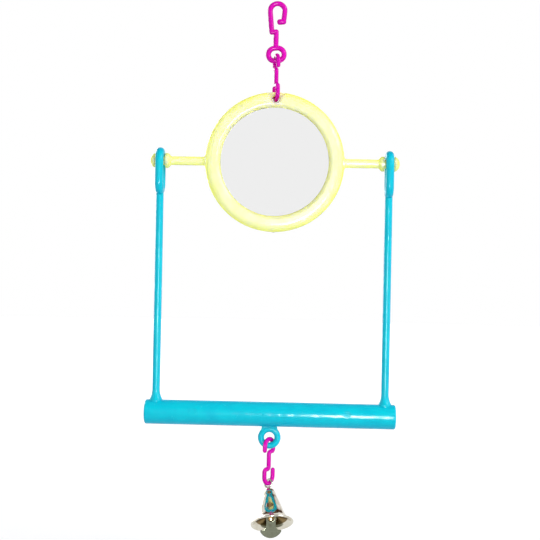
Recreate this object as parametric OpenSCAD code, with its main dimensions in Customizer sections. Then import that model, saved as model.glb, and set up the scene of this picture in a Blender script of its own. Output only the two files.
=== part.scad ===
// Bird swing: a double-sided round mirror in a moulded rim, a perch frame that swings on
// the rim's two arms, and a small bell. It hangs from a hook on open S-shaped links.
// Millimetres, Z up, front towards -Y. The origin is the middle of the cage wire in the hook.

/* [Hanger hook] */
// Diameter of the hook's round section
hook_wire = 2.4; // [1.8:0.1:4]
// Radius of the arch over the cage wire, to the middle of the section
hook_arch_r = 3.55; // [2.5:0.05:8]
// Drop from the arch's middle to the jog in the shank
hook_shank_drop = 10.0; // [8:0.1:25]
// Drop of the free limb to its foot
hook_limb_drop = 5.4; // [3:0.1:9]
// How far the free limb leans in towards the shank
hook_limb_lean = 11; // [0:1:20]
// Diameter of the foot that half closes the hook
hook_foot_wire = 2.7; // [2:0.1:4]
// Length of the foot, between the middles of its ends
hook_foot_len = 1.9; // [1:0.1:4]
// Sideways step of the jog, from shank to stem
hook_jog = 2.2; // [1:0.1:5]
// Drop from the jog to the middle of the ring's top section
hook_stem_drop = 7.8; // [4:0.1:15]
// How far the stem leans back under the shank
hook_stem_lean = 6; // [0:1:15]
// Radius of the ring's round ends, to the middle of the section
hook_ring_r = 3.1; // [2.6:0.05:8]
// Straight length between the ring's two round ends
hook_ring_straight = 1.35; // [0:0.05:5]

/* [Links] */
// Diameter of a link's round section
link_wire = 2.1; // [1.4:0.1:4]
// Radius of a link's two bows, to the middle of the section
link_bow_r = 3.5; // [2.8:0.05:8]
// Straight part of the limb that joins the upper bow to its jog
link_upper_limb = 1.4; // [0.5:0.1:6]
// Straight part of the limb that joins the lower bow to its jog
link_lower_limb = 2.2; // [0.5:0.1:6]
// Length of the upper bow's free limb
link_upper_tip = 1.7; // [0.5:0.1:5]
// Length of the lower bow's free limb
link_lower_tip = 2.6; // [0.5:0.1:5]
// Straight length of the shank between the jogs
link_shank = 5.6; // [3:0.1:20]
// Bend radius of the jogs, to the middle of the section
link_jog_r = 1.3; // [1.1:0.05:3]
// Which way the upper link is turned about the vertical
upper_link_yaw = 105; // [0:1:180]
// Which way the bell's link is turned about the vertical
bell_link_yaw = 57; // [0:1:180]

/* [Mirror rim] */
// Outside diameter of the rim
rim_d = 67.2; // [50:0.2:120]
// Width of the rim's band, from its outer edge to the opening
rim_band = 7.6; // [6.2:0.1:12]
// Depth of the rim, front to back
rim_depth = 9; // [7:0.1:15]
// Radius of the rim's outer corners
rim_outer_round = 3.6; // [1:0.1:4.4]
// Radius of the rim's inner corners
rim_inner_round = 2.2; // [0.5:0.1:2.3]
// Thickness of the web between the two mirrors
web_t = 1.6; // [1:0.1:3]
// Depth from the rim's edge to the middle of the hole for the link
tab_hole_inset = 3.3; // [2.8:0.1:6]
// Diameter of the hole for the link
tab_hole_d = 3.5; // [3:0.1:6]
// Thickness left round the hole, where the rim is recessed on both faces
tab_t = 3.2; // [2:0.1:4]
// Width of the recess at the rim's edge
tab_recess_w = 10; // [7:0.1:16]
// Radius of the recess round the hole
tab_recess_r = 2.6; // [2.2:0.1:4]

/* [Mirrors] */
// How far each mirror reaches under the rim's inner edge
mirror_lap = 1.5; // [0.8:0.1:2.5]
// Thickness of each mirror disc
mirror_t = 1.5; // [1:0.1:3]
// Bevel on the mirror's seen edge
mirror_bevel = 0.3; // [0.1:0.05:0.6]
// Gap round and behind each mirror, for its glue
mirror_fit = 0.1; // [0.05:0.05:0.3]

/* [Arms] */
// Diameter of the arms and of the journals that the perch frame swings on
arm_d = 4.1; // [3:0.1:8]
// Diameter of the collars inside the perch frame
collar_d = 7; // [5:0.1:12]
// Length of a collar's cone
collar_cone = 1.3; // [0.5:0.1:4]
// Length of a collar's rim
collar_rim = 1.5; // [0.5:0.1:4]
// Diameter of the snap heads outside the perch frame
head_d = 7.3; // [5:0.1:12]
// Length of each head, which is domed
head_len = 2.5; // [1.5:0.1:5]
// Radius of the fillet where an arm leaves the rim
arm_fillet = 1.2; // [0.5:0.1:3]

/* [Perch frame] */
// Diameter of the perch
perch_d = 11.8; // [8:0.1:25]
// Length of the perch
perch_len = 120.8; // [90:0.2:260]
// Distance from each end of the perch to the middle of the upright
perch_overhang = 5.15; // [4.2:0.05:12]
// Rounding of the perch's end edges
perch_round = 0.9; // [0.2:0.1:3]
// Drop from the arms' axis to the perch's axis
frame_drop = 121.6; // [90:0.2:260]
// Diameter of the uprights
upright_d = 3.6; // [3:0.1:8]
// Diameter of each upright where it grows out of the perch
upright_foot_d = 6.4; // [4:0.1:12]
// Height of that growth above the perch
upright_foot_h = 5; // [2:0.1:12]
// Diameter of the section of the eyes that ride on the journals
eye_wire = 4.0; // [3:0.1:8]
// Length of the straight limbs of each eye
eye_straight = 10.3; // [4:0.1:20]
// Outside diameter of the ring under the perch
ring_d = 11; // [9:0.1:20]
// Diameter of that ring's section
ring_wire = 3.0; // [2:0.1:5]
// Drop from the perch's axis to the ring's middle
ring_drop = 11.1; // [9:0.1:25]
// Diameter of the two shallow marks that the mould's pins leave on the perch's front
pin_mark_d = 3.6; // [2:0.1:5]
// Depth of those marks
pin_mark_depth = 0.4; // [0.3:0.05:1]
// Distance from each end of the perch to the middle of its mark
pin_mark_inset = 23.4; // [12:0.2:40]
// How far round the perch the marks are turned up
pin_mark_turn = 12; // [-30:1:30]
// Width of the neck that joins the ring to the perch
ring_neck_w = 7.4; // [4:0.1:10]
// Thickness of that neck
ring_neck_t = 2.4; // [1:0.1:5]

/* [Bell] */
// Diameter of the bell's mouth
mouth_d = 20.2; // [14:0.1:40]
// Height of the bell shell
bell_h = 17.9; // [12:0.1:35]
// Thickness of the stamped shell
bell_wall = 0.5; // [0.3:0.05:1]
// Diameter of the rolled edge at the mouth
bell_lip_d = 0.8; // [0.6:0.05:1.6]
// Diameter of the hole in the crown
crown_hole_d = 1.3; // [1:0.1:3]
// How far the bell is tipped, mouth towards the viewer
bell_tip = 35; // [0:1:40]
// Which way the bell's swing axis is turned about the vertical
bell_yaw = 12; // [0:1:90]

/* [Bell wire and clapper] */
// Diameter of the bell's wire
bell_wire_d = 0.9; // [0.6:0.05:1.6]
// Radius of the wire's upper eye, to the middle of the wire
upper_eye_r = 2.0; // [1.8:0.05:4]
// Radius of the wire's lower eye, to the middle of the wire
lower_eye_r = 1.5; // [1.2:0.05:3]
// Distance from the crown's top to the middle of the lower eye
lower_eye_drop = 12.7; // [8:0.1:25]
// Diameter of the swelling that stops the shell sliding down the wire
wire_stop_d = 2.2; // [1.6:0.1:4]
// Thickness of the stamped clapper
clapper_t = 0.7; // [0.4:0.05:1.5]
// Diameter of the clapper's hole
clapper_hole_d = 3; // [2.4:0.1:6]
// Outside diameter of the clapper's head round its hole
clapper_head_d = 5.2; // [4:0.1:10]
// Width across the clapper's wings
clapper_w = 10.1; // [7:0.1:18]
// Height from the middle of the clapper's hole to its lowest edge
clapper_drop = 9.4; // [6:0.1:20]
// Width of the clapper's neck
clapper_neck_w = 4.6; // [2.5:0.1:8]
// How deep the clapper's rounded lower edge is
clapper_sag = 3; // [1:0.1:6]

/* [Fits] */
// Gap between a hanging piece and what carries it
hang_gap = 0.3; // [0.1:0.05:0.6]
// More gap for the bell's link, which goes through its ring at a slant
slant_gap = 0.3; // [0.2:0.05:0.6]
// Gap between the bell's crown and its wire
crown_gap = 0.1; // [0.05:0.05:0.3]
// Radial gap between an eye and its journal
journal_gap = 0.3; // [0.1:0.05:0.6]
// Free play of each eye along its journal, on each side
side_play = 0.45; // [0.1:0.05:1]
// Gap between the clapper and the eye that carries it
clapper_gap = 0.25; // [0.1:0.05:0.5]
// How far the link's hole is set above the bow that runs through it
tab_lift = 0.25; // [0:0.05:0.6]

/* [Show] */
// Which piece to draw

/* [Hidden] */
$fn = 48;
// How far a cut runs past the face it opens
cut_past = 0.5;
hook_pink = [0.86, 0.07, 0.74];
rim_yellow = [0.97, 0.97, 0.72];
frame_blue = [0.02, 0.66, 0.8];
mirror_grey = [0.86, 0.88, 0.89];
nickel_grey = [0.75, 0.74, 0.7];

// The hook is drawn with its shank upright, then leans until its ring hangs under the cage wire.
hook_jog_bend = hook_jog / 2;
hook_foot_x = hook_arch_r - hook_limb_drop * tan(hook_limb_lean);
hook_stem_x = hook_jog - hook_arch_r;
hook_ring_x = hook_stem_x - hook_stem_drop * tan(hook_stem_lean);
hook_ring_top = -hook_shank_drop - hook_stem_drop;
hook_ring_low = hook_ring_top - 2 * hook_ring_r;
hook_lean = atan2(-hook_ring_x, -hook_ring_low);
hook_reach = norm([hook_ring_x, hook_ring_low]);

// A link is drawn from the middle of its upper bow, in the XZ plane.
link_jog_h = 2 * link_jog_r;
link_span = link_upper_limb + link_lower_limb + link_shank + 2 * link_jog_h;
link_shank_top = -link_upper_limb - link_jog_h;

// Heights, from the cage wire down. Each piece hangs on the one above with hang_gap between.
upper_pivot_z = -hook_reach;
upper_link_z = upper_pivot_z + (hook_wire + link_wire) / 2 + hang_gap - link_bow_r;
rim_pivot_z = upper_link_z - link_span - link_bow_r;
tab_hole_z = rim_d / 2 - tab_hole_inset;
rim_z = rim_pivot_z + tab_lift - tab_hole_z;
perch_z = rim_z - frame_drop;
ring_r = (ring_d - ring_wire) / 2;
ring_z = perch_z - ring_drop;
bell_link_pivot_z = ring_z - ring_r;
bell_link_z = bell_link_pivot_z + (ring_wire + link_wire) / 2 + hang_gap + slant_gap - link_bow_r;
bell_pivot_z = bell_link_z - link_span - link_bow_r;

// The rim's pockets and arms. The arms reach as far as the perch frame's eyes ask.
rim_r = rim_d / 2;
opening_r = rim_r - rim_band;
mirror_d = 2 * (opening_r + mirror_lap);
pocket_r = mirror_d / 2 + mirror_fit;
pocket_depth = mirror_t + 2 * mirror_fit;
tab_recess_depth = (rim_depth - tab_t) / 2;
eye_x = perch_len / 2 - perch_overhang;
collar_x = eye_x - eye_wire / 2 - side_play;
arm_reach = collar_x - collar_rim - collar_cone;
head_x = eye_x + eye_wire / 2 + side_play;
eye_r = arm_d / 2 + journal_gap + eye_wire / 2;

// The bell is drawn upright with its crown under the upper eye, then tipped about the pivot.
// The upper eye faces along the link's bow.
upper_eye_twist = bell_link_yaw - bell_yaw;
crown_drop = upper_eye_r + bell_wire_d / 2 + crown_gap;
lower_eye_z = -crown_drop - lower_eye_drop;
// The shell's outer radius and depth at each named station, from the crown to the mouth
crown_hole_r = crown_hole_d / 2;
crown_shares = [[0, 0], [0.1, 0.01], [0.21, 0.045], [0.29, 0.12], [0.34, 0.23], [0.4, 0.32],
    [0.46, 0.42], [0.53, 0.54], [0.6, 0.67], [0.68, 0.785], [0.8, 0.895], [1, 1]];
station_count = len(crown_shares);
curve_steps = 4;

// A point on a smooth curve through four stations, from the second to the third.
function blend(a, b, c, d, u) = (2 * b + (c - a) * u + (2 * a - 5 * b + 4 * c - d) * u * u
    + (3 * b - a - 3 * c + d) * u * u * u) / 2;

function station(i) = crown_shares[max(0, min(station_count - 1, i))];

// The shell's outer curve, as radius and height below the crown's top.
function shell_point(u) = let (i = min(floor(u), station_count - 2),
    p = blend(station(i - 1), station(i), station(i + 1), station(i + 2), u - i))
    [p[0] * (mouth_d - bell_lip_d) / 2, -p[1] * (bell_h - bell_lip_d / 2)];

function unit(v) = v / norm(v);

// The same curve moved in by the wall.
function inner_point(u) = let (e = 1 / (2 * curve_steps),
    t = unit(shell_point(min(u + e, station_count - 1)) - shell_point(max(u - e, 0))))
    shell_point(u) + bell_wall * [t[1], -t[0]];

// A round rod between two points.
module rod(a, b, d) {
    v = b - a;
    translate(a)
        rotate([0, acos(v[2] / norm(v)), atan2(v[1], v[0])])
            cylinder(d = d, h = norm(v));
}

// A bend in the XZ plane about c, from the angle start, measured from +X towards +Z.
module bend(c, r, start, turn, d) {
    translate(c)
        rotate([90, 0, 0])
            rotate([0, 0, start])
                rotate_extrude(angle = turn)
                    translate([r, 0])
                        circle(d = d);
}

module hook_shape() {
    jog_z = -hook_shank_drop;
    foot_z = -hook_limb_drop;
    bend([0, 0, 0], hook_arch_r, 0, 180, hook_wire);
    rod([-hook_arch_r, 0, jog_z + hook_jog_bend], [-hook_arch_r, 0, 0], hook_wire);
    rod([hook_foot_x, 0, foot_z], [hook_arch_r, 0, 0], hook_wire);
    translate([hook_arch_r, 0, 0])
        sphere(d = hook_wire);
    rod([hook_foot_x - hook_foot_len, 0, foot_z], [hook_foot_x, 0, foot_z], hook_foot_wire);
    for (x = [hook_foot_x - hook_foot_len, hook_foot_x])
        translate([x, 0, foot_z])
            sphere(d = hook_foot_wire);
    // The jog's two corners are too tight to bend, so they are moulded as balls.
    for (x = [-hook_arch_r, hook_stem_x])
        translate([x, 0, jog_z])
            sphere(d = hook_wire);
    rod([-hook_arch_r, 0, jog_z], [-hook_arch_r, 0, jog_z + hook_jog_bend], hook_wire);
    rod([-hook_arch_r, 0, jog_z], [hook_stem_x, 0, jog_z], hook_wire);
    rod([hook_ring_x, 0, hook_ring_top], [hook_stem_x, 0, jog_z], hook_wire);
    hook_ring();
}

module hook_ring() {
    mid_z = hook_ring_top - hook_ring_r;
    half = hook_ring_straight / 2;
    bend([hook_ring_x + half, 0, mid_z], hook_ring_r, -90, 180, hook_wire);
    bend([hook_ring_x - half, 0, mid_z], hook_ring_r, 90, 180, hook_wire);
    for (z = [hook_ring_top, hook_ring_low])
        rod([hook_ring_x - half, 0, z], [hook_ring_x + half, 0, z], hook_wire);
}

module hanger_hook() {
    color(hook_pink)
        rotate([0, -hook_lean, 0])
            hook_shape();
}

// One jog, from the limb at x = link_bow_r and height z down to the shank.
module link_jog(z) {
    mid_z = z - link_jog_r;
    bend([link_bow_r - link_jog_r, 0, z], link_jog_r, -90, 90, link_wire);
    rod([link_jog_r, 0, mid_z], [link_bow_r - link_jog_r, 0, mid_z], link_wire);
    bend([link_jog_r, 0, z - link_jog_h], link_jog_r, 90, 90, link_wire);
}

// An open S link. The upper bow's free limb is at -X and the lower bow's at +X.
module link_shape() {
    low = -link_span;
    bend([0, 0, 0], link_bow_r, 0, 180, link_wire);
    rod([-link_bow_r, 0, -link_upper_tip], [-link_bow_r, 0, 0], link_wire);
    translate([-link_bow_r, 0, -link_upper_tip])
        sphere(d = link_wire);
    rod([link_bow_r, 0, -link_upper_limb], [link_bow_r, 0, 0], link_wire);
    link_jog(-link_upper_limb);
    rod([0, 0, link_shank_top - link_shank], [0, 0, link_shank_top], link_wire);
    rotate_lower(low)
        link_jog(-link_lower_limb);
    rod([-link_bow_r, 0, low], [-link_bow_r, 0, low + link_lower_limb], link_wire);
    bend([0, 0, low], link_bow_r, 180, 180, link_wire);
    rod([link_bow_r, 0, low], [link_bow_r, 0, low + link_lower_tip], link_wire);
    translate([link_bow_r, 0, low + link_lower_tip])
        sphere(d = link_wire);
}

// Turns a shape half round in the XZ plane, so that its origin comes to height z.
module rotate_lower(z) {
    translate([0, 0, z])
        rotate([0, 180, 0])
            children();
}

module upper_link() {
    color(hook_pink)
        translate([0, 0, upper_link_z])
            rotate([0, 0, upper_link_yaw])
                link_shape();
}

module bell_link() {
    color(hook_pink)
        translate([0, 0, bell_link_z])
            rotate([0, 0, bell_link_yaw])
                link_shape();
}

// The rim's section: a bead with large outer and small inner corners.
module rim_section() {
    half = rim_depth / 2;
    for (side = [-1, 1]) {
        translate([rim_r - rim_outer_round, side * (half - rim_outer_round)])
            circle(rim_outer_round);
        translate([opening_r + rim_inner_round, side * (half - rim_inner_round)])
            circle(rim_inner_round);
    }
    translate([opening_r + rim_inner_round, -half])
        square([rim_r - rim_outer_round - opening_r - rim_inner_round, rim_depth]);
    translate([opening_r, rim_inner_round - half])
        square([rim_inner_round, rim_depth - 2 * rim_inner_round]);
    translate([rim_r - rim_outer_round, rim_outer_round - half])
        square([rim_outer_round, rim_depth - 2 * rim_outer_round]);
}

// One side's arm, collar, journal and snap head, as a profile turned about the arm's axis.
module arm_profile() {
    r = arm_d / 2;
    difference() {
        square([r + arm_fillet, rim_r + arm_fillet]);
        translate([r + arm_fillet, rim_r + arm_fillet])
            circle(arm_fillet);
    }
    square([r, head_x]);
    polygon([[0, arm_reach], [r, arm_reach], [collar_d / 2, arm_reach + collar_cone],
        [collar_d / 2, collar_x], [0, collar_x]]);
    intersection() {
        translate([0, head_x])
            square([head_d / 2, head_len]);
        translate([0, head_x + head_len - dome_r])
            circle(dome_r);
    }
}

// The radius of a dome that is head_len high on a base of head_d.
dome_r = (head_d * head_d / 4 + head_len * head_len) / (2 * head_len);

module link_recess() {
    for (side = [-1, 1])
        translate([0, side * (tab_t / 2 + tab_recess_depth / 2 + cut_past / 2), 0])
            rotate([90, 0, 0])
                linear_extrude(tab_recess_depth + cut_past, center = true) {
                    translate([0, tab_hole_z])
                        circle(tab_recess_r);
                    polygon([[-tab_recess_r, tab_hole_z], [tab_recess_r, tab_hole_z],
                        [tab_recess_w / 2, rim_r], [tab_recess_w / 2, rim_r + cut_past],
                        [-tab_recess_w / 2, rim_r + cut_past], [-tab_recess_w / 2, rim_r]]);
                }
}

module mirror_pocket(side) {
    translate([0, side * (web_t + pocket_depth) / 2, 0])
        rotate([90, 0, 0])
            cylinder(r = pocket_r, h = pocket_depth, center = true, $fn = 96);
}

module rim_body() {
    difference() {
        union() {
            rotate([90, 0, 0])
                rotate_extrude($fn = 96)
                    rim_section();
            rotate([90, 0, 0])
                cylinder(r = pocket_r, h = web_t, center = true, $fn = 96);
            for (side = [-1, 1])
                rotate([0, 90 * side, 0])
                    difference() {
                        rotate_extrude()
                            arm_profile();
                        cylinder(r = rim_r, h = 2 * (opening_r + rim_inner_round), center = true);
                    }
        }
        for (side = [-1, 1])
            mirror_pocket(side);
        link_recess();
        translate([0, 0, tab_hole_z])
            rotate([90, 0, 0])
                cylinder(d = tab_hole_d, h = rim_depth, center = true);
    }
}

module mirror_rim() {
    color(rim_yellow)
        translate([0, 0, rim_z])
            rim_body();
}

// A mirror disc with its bevelled, seen face towards -Y.
module mirror_disc() {
    rotate([90, 0, 0])
        rotate_extrude($fn = 96)
            polygon([[0, 0], [mirror_d / 2, 0], [mirror_d / 2, mirror_t - mirror_bevel],
                [mirror_d / 2 - mirror_bevel, mirror_t], [0, mirror_t]]);
}

module front_mirror() {
    color(mirror_grey)
        translate([0, -web_t / 2 - mirror_fit, rim_z])
            mirror_disc();
}

module back_mirror() {
    color(mirror_grey)
        translate([0, web_t / 2 + mirror_fit, rim_z])
            rotate([0, 0, 180])
                mirror_disc();
}

// The perch as a turned profile, with its end edges rounded.
module perch_profile() {
    square([perch_d / 2 - perch_round, perch_len], center = false);
    translate([0, perch_round])
        square([perch_d / 2, perch_len - 2 * perch_round]);
    for (y = [perch_round, perch_len - perch_round])
        translate([perch_d / 2 - perch_round, y])
            circle(perch_round);
}

// The upright's foot widens towards the perch, as the square of the distance down.
foot_steps = 8;
foot_sink = perch_d / 4;

function foot_r(u) = (upright_d + (upright_foot_d - upright_d) * u * u) / 2;

module upright_foot() {
    base = perch_d / 2;
    rotate_extrude()
        polygon(concat([[0, base + upright_foot_h]],
            [for (i = [0:foot_steps]) [foot_r(i / foot_steps),
                base + upright_foot_h * (1 - i / foot_steps)]],
            [[upright_foot_d / 2, base - foot_sink], [0, base - foot_sink]]));
}

// An eye in the YZ plane, whose upper end rides on the journal at the origin.
module journal_eye() {
    rotate([0, 0, 90]) {
        bend([0, 0, 0], eye_r, 0, 180, eye_wire);
        bend([0, 0, -eye_straight], eye_r, 180, 180, eye_wire);
        for (x = [-eye_r, eye_r])
            rod([x, 0, -eye_straight], [x, 0, 0], eye_wire);
    }
}

module perch_ring() {
    bend([0, 0, -ring_drop], ring_r, 0, 360, ring_wire);
    rotate([90, 0, 0])
        linear_extrude(ring_neck_t, center = true)
            polygon([[-ring_neck_w / 2, foot_sink - perch_d / 2],
                [ring_neck_w / 2, foot_sink - perch_d / 2],
                [ring_neck_w / 2, -perch_d / 2], [ring_r, ring_wire / 2 - ring_drop + ring_r / 2],
                [ring_r / 2, ring_r - ring_drop], [-ring_r / 2, ring_r - ring_drop],
                [-ring_r, ring_wire / 2 - ring_drop + ring_r / 2], [-ring_neck_w / 2, -perch_d / 2]]);
}

// A shallow round cut in the perch's front, turned up about the perch's axis.
module pin_mark(x) {
    translate([x, 0, 0])
        rotate([90 - pin_mark_turn, 0, 0])
            translate([0, 0, perch_d / 2 - pin_mark_depth])
                cylinder(d = pin_mark_d, h = pin_mark_depth + cut_past);
}

module perch_bar() {
    mark_x = perch_len / 2 - pin_mark_inset;
    difference() {
        translate([-perch_len / 2, 0, 0])
            rotate([0, 90, 0])
                rotate_extrude()
                    perch_profile();
        for (x = [-mark_x, mark_x])
            pin_mark(x);
    }
}

module perch_frame() {
    upright_top = frame_drop - eye_straight - eye_r;
    color(frame_blue)
        translate([0, 0, perch_z]) {
            perch_bar();
            for (x = [-eye_x, eye_x])
                translate([x, 0, 0]) {
                    translate([0, 0, perch_d / 2 + upright_foot_h])
                        cylinder(d = upright_d, h = upright_top - perch_d / 2 - upright_foot_h);
                    upright_foot();
                    translate([0, 0, frame_drop])
                        journal_eye();
                }
            perch_ring();
        }
}

// Puts a shape drawn about the bell's pivot in its place, tipped towards the viewer.
module at_bell() {
    translate([0, 0, bell_pivot_z])
        rotate([0, 0, bell_yaw])
            rotate([-bell_tip, 0, 0])
                children();
}

// The stamped shell, upright, from its crown down to where the edge is rolled.
module shell_skin() {
    last = (station_count - 1) * curve_steps;
    first = 2;
    rotate_extrude($fn = 72)
        polygon(concat([for (i = [0:last]) shell_point(i / curve_steps)],
            [for (i = [last:-1:first]) inner_point(i / curve_steps)],
            [[0, -bell_wall - bell_wall * bell_wall / mouth_d]]));
}

module rolled_lip() {
    translate([0, 0, bell_lip_d / 2 - bell_h])
        rotate_extrude($fn = 72)
            translate([(mouth_d - bell_lip_d) / 2, 0])
                circle(d = bell_lip_d);
}

module bell_shell() {
    color(nickel_grey)
        at_bell()
            translate([0, 0, -crown_drop])
                difference() {
                    union() {
                        shell_skin();
                        rolled_lip();
                    }
                    cylinder(d = crown_hole_d, h = 4 * bell_wall, center = true);
                }
}

module bell_wire() {
    stop_z = -crown_drop - bell_wall - wire_stop_d / 2 - crown_gap;
    color(nickel_grey)
        at_bell()
            rotate([0, 0, 90]) {
                rotate([0, 0, upper_eye_twist])
                    bend([0, 0, 0], upper_eye_r, 0, 360, bell_wire_d);
                rod([0, 0, lower_eye_z + lower_eye_r], [0, 0, -upper_eye_r], bell_wire_d);
                bend([0, 0, lower_eye_z], lower_eye_r, 0, 360, bell_wire_d);
                translate([0, 0, stop_z])
                    sphere(d = wire_stop_d);
            }
}

// The clapper, drawn about the lower eye's middle, as a plate in the XZ plane.
module clapper_plate() {
    hole_z = -lower_eye_r + bell_wire_d / 2 + clapper_gap - clapper_hole_d / 2;
    edge_z = hole_z - clapper_drop;
    wing_z = edge_z + clapper_sag;
    half = clapper_w / 2;
    arc_r = (half * half + clapper_sag * clapper_sag) / (2 * clapper_sag);
    waist_r = (half - clapper_neck_w / 2);
    rotate([90, 0, 0])
        linear_extrude(clapper_t, center = true)
            difference() {
                union() {
                    translate([0, hole_z])
                        circle(d = clapper_head_d);
                    difference() {
                        translate([-half, wing_z])
                            square([clapper_w, hole_z - wing_z]);
                        for (side = [-1, 1])
                            translate([side * half, wing_z + waist_r + clapper_t])
                                circle(waist_r);
                        for (side = [-1, 1])
                            translate([side * (half + clapper_neck_w) / 2, hole_z])
                                square([half, 2 * (hole_z - wing_z - waist_r - clapper_t)],
                                    center = true);
                    }
                    intersection() {
                        translate([-half, edge_z])
                            square([clapper_w, clapper_sag]);
                        translate([0, edge_z + arc_r])
                            circle(arc_r);
                    }
                }
                translate([0, hole_z])
                    circle(d = clapper_hole_d);
            }
}

// The clapper hangs plumb from the lower eye, whatever the bell's tip is.
module clapper() {
    color(nickel_grey)
        translate([0, 0, bell_pivot_z])
            rotate([0, 0, bell_yaw])
                translate([0, lower_eye_z * sin(bell_tip), lower_eye_z * cos(bell_tip)])
                    clapper_plate();
}

hanger_hook();
upper_link();
mirror_rim();
front_mirror();
back_mirror();
perch_frame();
bell_link();
bell_wire();
bell_shell();
clapper();
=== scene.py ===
"""Looks of a hanging bird swing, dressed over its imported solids.

A magenta hook and an open link carry a round two-sided mirror in a pale yellow rim. A
turquoise perch frame swings on the rim's arms, and a nickel-plated bell hangs under the perch
on a second link. Sizes are in millimetres and meshes are made in metres.
"""

import enum
import logging
import math
from dataclasses import dataclass, replace
from typing import ClassVar

import bmesh
import bpy
import numpy as np
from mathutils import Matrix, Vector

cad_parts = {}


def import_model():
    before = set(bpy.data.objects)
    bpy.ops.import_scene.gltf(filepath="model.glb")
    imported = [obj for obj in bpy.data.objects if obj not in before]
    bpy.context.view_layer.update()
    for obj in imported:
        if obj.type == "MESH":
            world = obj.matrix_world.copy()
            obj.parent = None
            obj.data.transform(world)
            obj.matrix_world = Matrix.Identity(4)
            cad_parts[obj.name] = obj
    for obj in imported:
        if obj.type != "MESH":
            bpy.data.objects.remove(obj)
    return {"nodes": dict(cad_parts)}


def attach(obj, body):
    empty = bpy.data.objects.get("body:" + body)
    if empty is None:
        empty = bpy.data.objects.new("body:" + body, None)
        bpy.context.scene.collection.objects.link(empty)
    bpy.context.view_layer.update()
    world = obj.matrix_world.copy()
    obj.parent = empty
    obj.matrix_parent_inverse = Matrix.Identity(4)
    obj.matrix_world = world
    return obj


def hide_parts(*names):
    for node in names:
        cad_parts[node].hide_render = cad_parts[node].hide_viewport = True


MM = 0.001
LOG = logging.getLogger("bird_swing")
# A wave texture's bands go through twenty radians in each unit of its scale.
WAVE_RADIANS = 20
Material, Socket, Tree = bpy.types.Material, bpy.types.NodeSocket, bpy.types.NodeTree


class Body(enum.Enum):
    """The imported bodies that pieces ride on."""

    HOOK = "hook"
    TOP_LINK = "top_link"
    MIRROR = "mirror"
    PERCH = "perch"
    LOWER_LINK = "lower_link"
    BELL = "bell"
    CLAPPER = "clapper"


class Slot(enum.Enum):
    """The record's material slots, passed along with new pieces."""

    MAGENTA = "magenta_plastic"
    YELLOW = "yellow_plastic"
    TURQUOISE = "turquoise_plastic"
    NICKEL = "nickel_plate"


class Axis(enum.Enum):
    """The axes that points turn about."""

    X = "x"
    Y = "y"
    Z = "z"


# Colour, nodes and meshes


def linear(code: str) -> tuple[float, float, float, float]:
    """Turns an sRGB hex colour into Blender's linear colour.

    Args:
        code: Six hex digits, with or without a leading hash.

    Returns:
        Red, green, blue and an alpha of one.
    """
    digits = code.lstrip("#")
    parts = (int(digits[i : i + 2], 16) / 255 for i in (0, 2, 4))
    red, green, blue = (
        p / 12.92 if p <= 0.04045 else ((p + 0.055) / 1.055) ** 2.4 for p in parts
    )
    return red, green, blue, 1.0


def per_mm(size: float) -> float:
    """Gives the texture scale at which a pattern repeats about every size millimetres."""
    return 1 / (size * MM)


def add_node(
    tree: Tree, kind: str, settings: dict | None = None, links: dict | None = None
) -> bpy.types.Node:
    """Adds a node with its settings and links.

    Args:
        tree: The node tree that takes it.
        kind: The node's Blender type.
        settings: Values by the name of an attribute or input, or by an input's number.
        links: Output sockets by the name or number of the input that they feed.

    Returns:
        The new node.
    """
    node = tree.nodes.new(kind)
    for key, value in (settings or {}).items():
        if isinstance(key, str) and hasattr(node, key):
            setattr(node, key, value)
        else:
            node.inputs[key].default_value = value
    for key, socket in (links or {}).items():
        tree.links.new(socket, node.inputs[key])
    return node


def new_tree(owner: Material | bpy.types.World) -> Tree:
    """Gives a material or a world an empty node tree.

    Args:
        owner: What the tree belongs to.

    Returns:
        The empty tree.
    """
    owner.use_nodes = True
    owner.node_tree.nodes.clear()
    return owner.node_tree


def new_material(name: str) -> tuple[Material, Tree]:
    """Makes a material with an empty node tree, and gives both."""
    material = bpy.data.materials.new(name)
    return material, new_tree(material)


def linked(name: str, mesh: bpy.types.Mesh) -> bpy.types.Object:
    """Puts a mesh in the scene as an object at the origin.

    Args:
        name: The object's name.
        mesh: Its mesh, in metres.

    Returns:
        The object.
    """
    thing = bpy.data.objects.new(name, mesh)
    bpy.context.scene.collection.objects.link(thing)
    return thing


@dataclass(frozen=True)
class Grid:
    """A surface patch, whose point [u, v] joins its neighbours in both directions.

    Attributes:
        points: Places in millimetres, as rows, columns and three coordinates.
        wrap_rows: The last row joins the first.
        wrap_columns: The last column joins the first.
        capped: A flat face closes the first row and the last.
    """

    points: np.ndarray
    wrap_rows: bool = False
    wrap_columns: bool = False
    capped: bool = False

    def faces(self, start: int) -> list[list[int]]:
        """Lists the patch's faces.

        Args:
            start: The number of the patch's first vertex in its mesh.

        Returns:
            Vertex numbers, four to a face, and one longer face for each cap.
        """
        rows, columns = self.points.shape[:2]
        number = start + np.arange(rows * columns).reshape(rows, columns)
        if self.wrap_rows:
            number = np.vstack([number, number[:1]])
        if self.wrap_columns:
            number = np.hstack([number, number[:, :1]])
        quads = np.stack(
            [number[:-1, :-1], number[1:, :-1], number[1:, 1:], number[:-1, 1:]], axis=-1
        ).reshape(-1, 4)
        caps = []
        if self.capped:
            first = start + np.arange(columns)
            caps = [first.tolist(), (first + (rows - 1) * columns)[::-1].tolist()]
        return quads.tolist() + caps


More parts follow.
